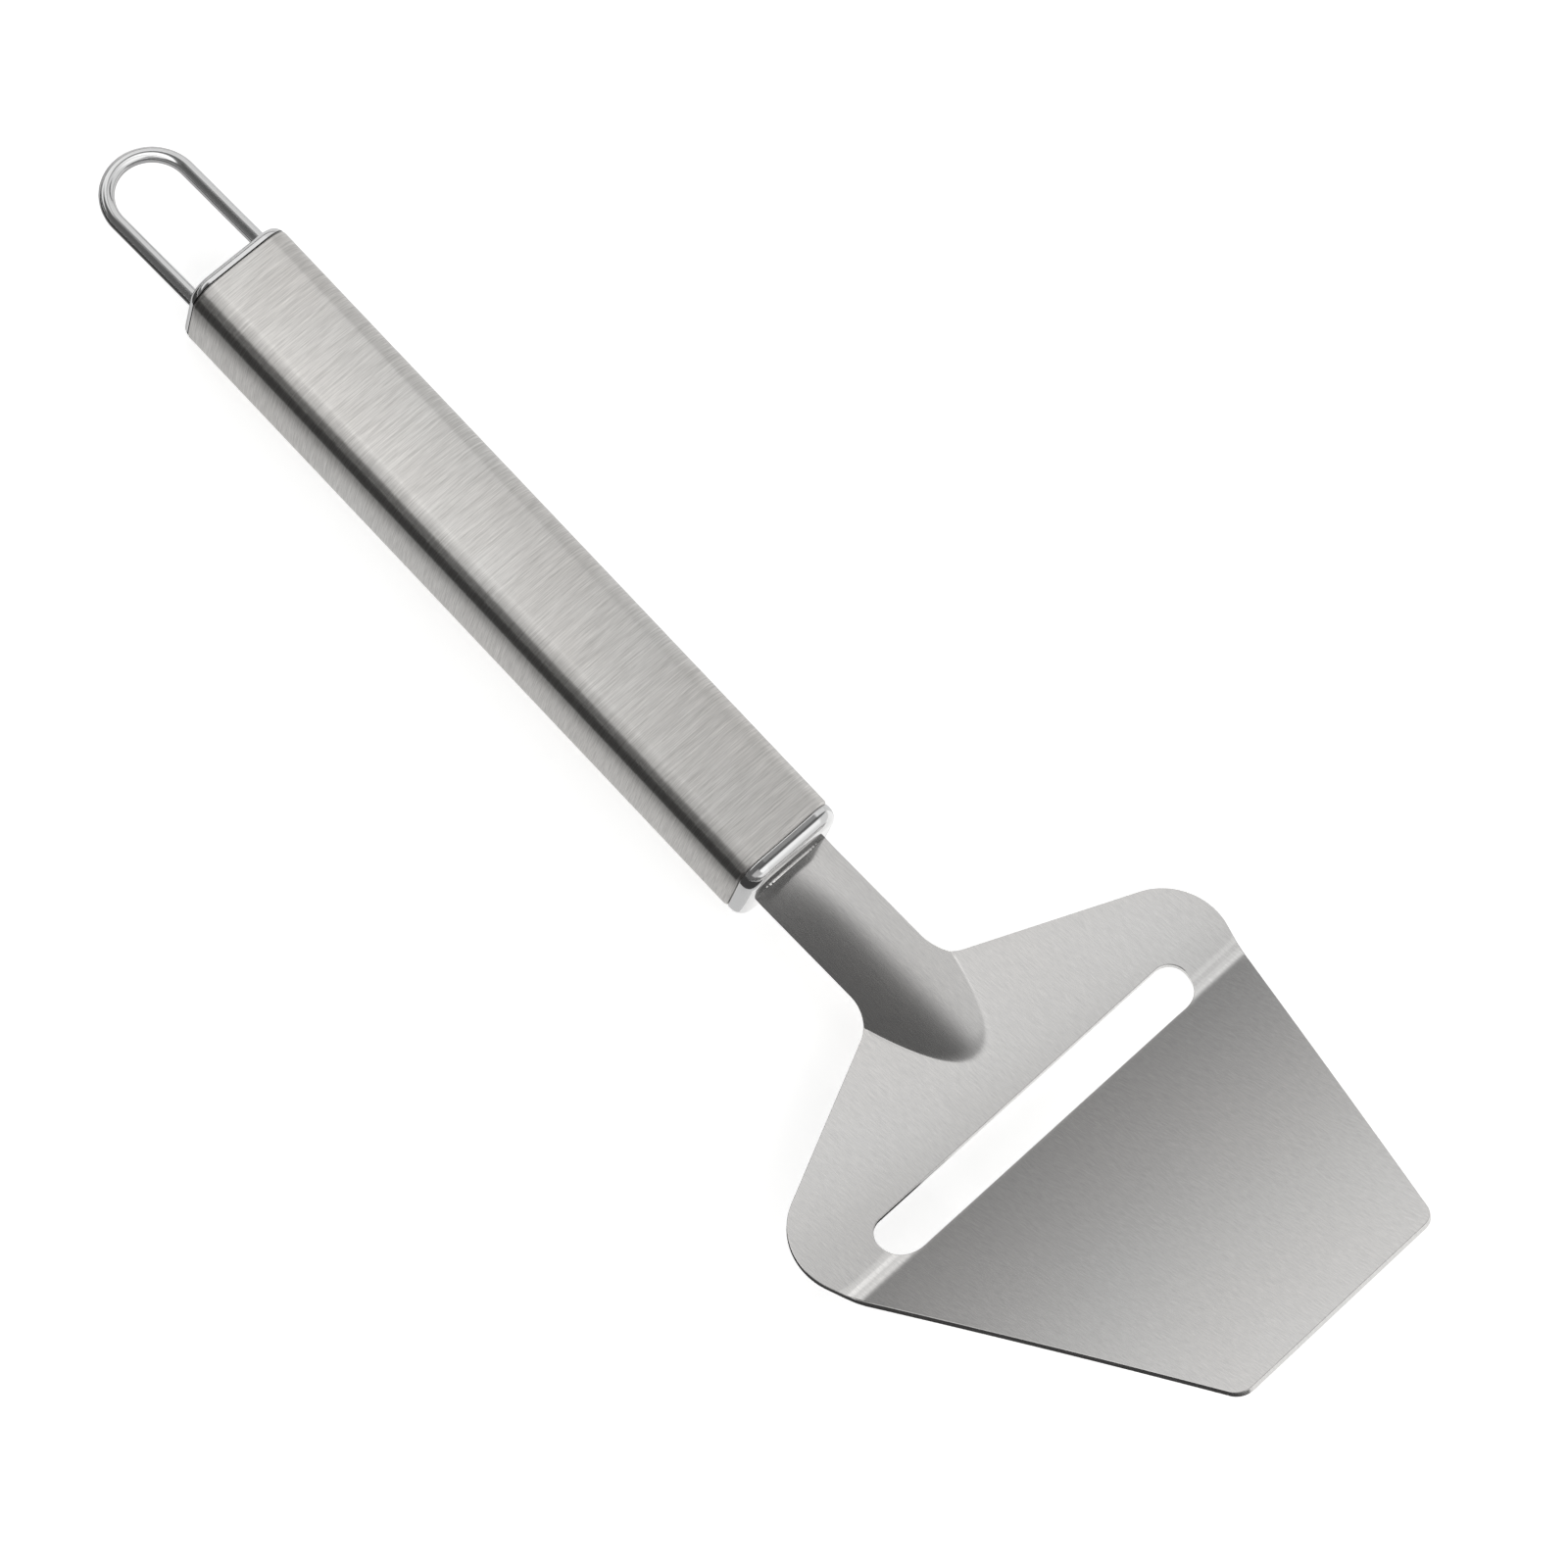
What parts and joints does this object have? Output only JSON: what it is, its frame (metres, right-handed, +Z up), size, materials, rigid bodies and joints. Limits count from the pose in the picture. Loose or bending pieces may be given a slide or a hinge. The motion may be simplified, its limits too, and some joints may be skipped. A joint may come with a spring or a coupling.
{
  "type": "cheese slicer",
  "caption": "Cheese slicer: flat steel blade bent up at a cutting slot, arched neck, hollow square steel handle and a wire loop for hanging.",
  "frame": {"origin": "middle of the handle's flat underside, on which the slicer rests", "axes": "+X along the handle towards the blade, +Y to the left when looking along +X, +Z up, away from the resting face"},
  "size_m": [0.2372, 0.0798, 0.0489],
  "materials": {
    "brushed_tube": "stainless steel brushed across the handle",
    "satin_blade": "stainless steel sheet with a fine lengthwise grain",
    "polished_fittings": "polished stainless steel"
  },
  "bodies": {
    "root": {"handle_tube": "brushed_tube", "front_ferrule": "polished_fittings", "rear_cap": "polished_fittings", "hanging_loop": "polished_fittings", "blade": "satin_blade"}
  },
  "joints": []
}
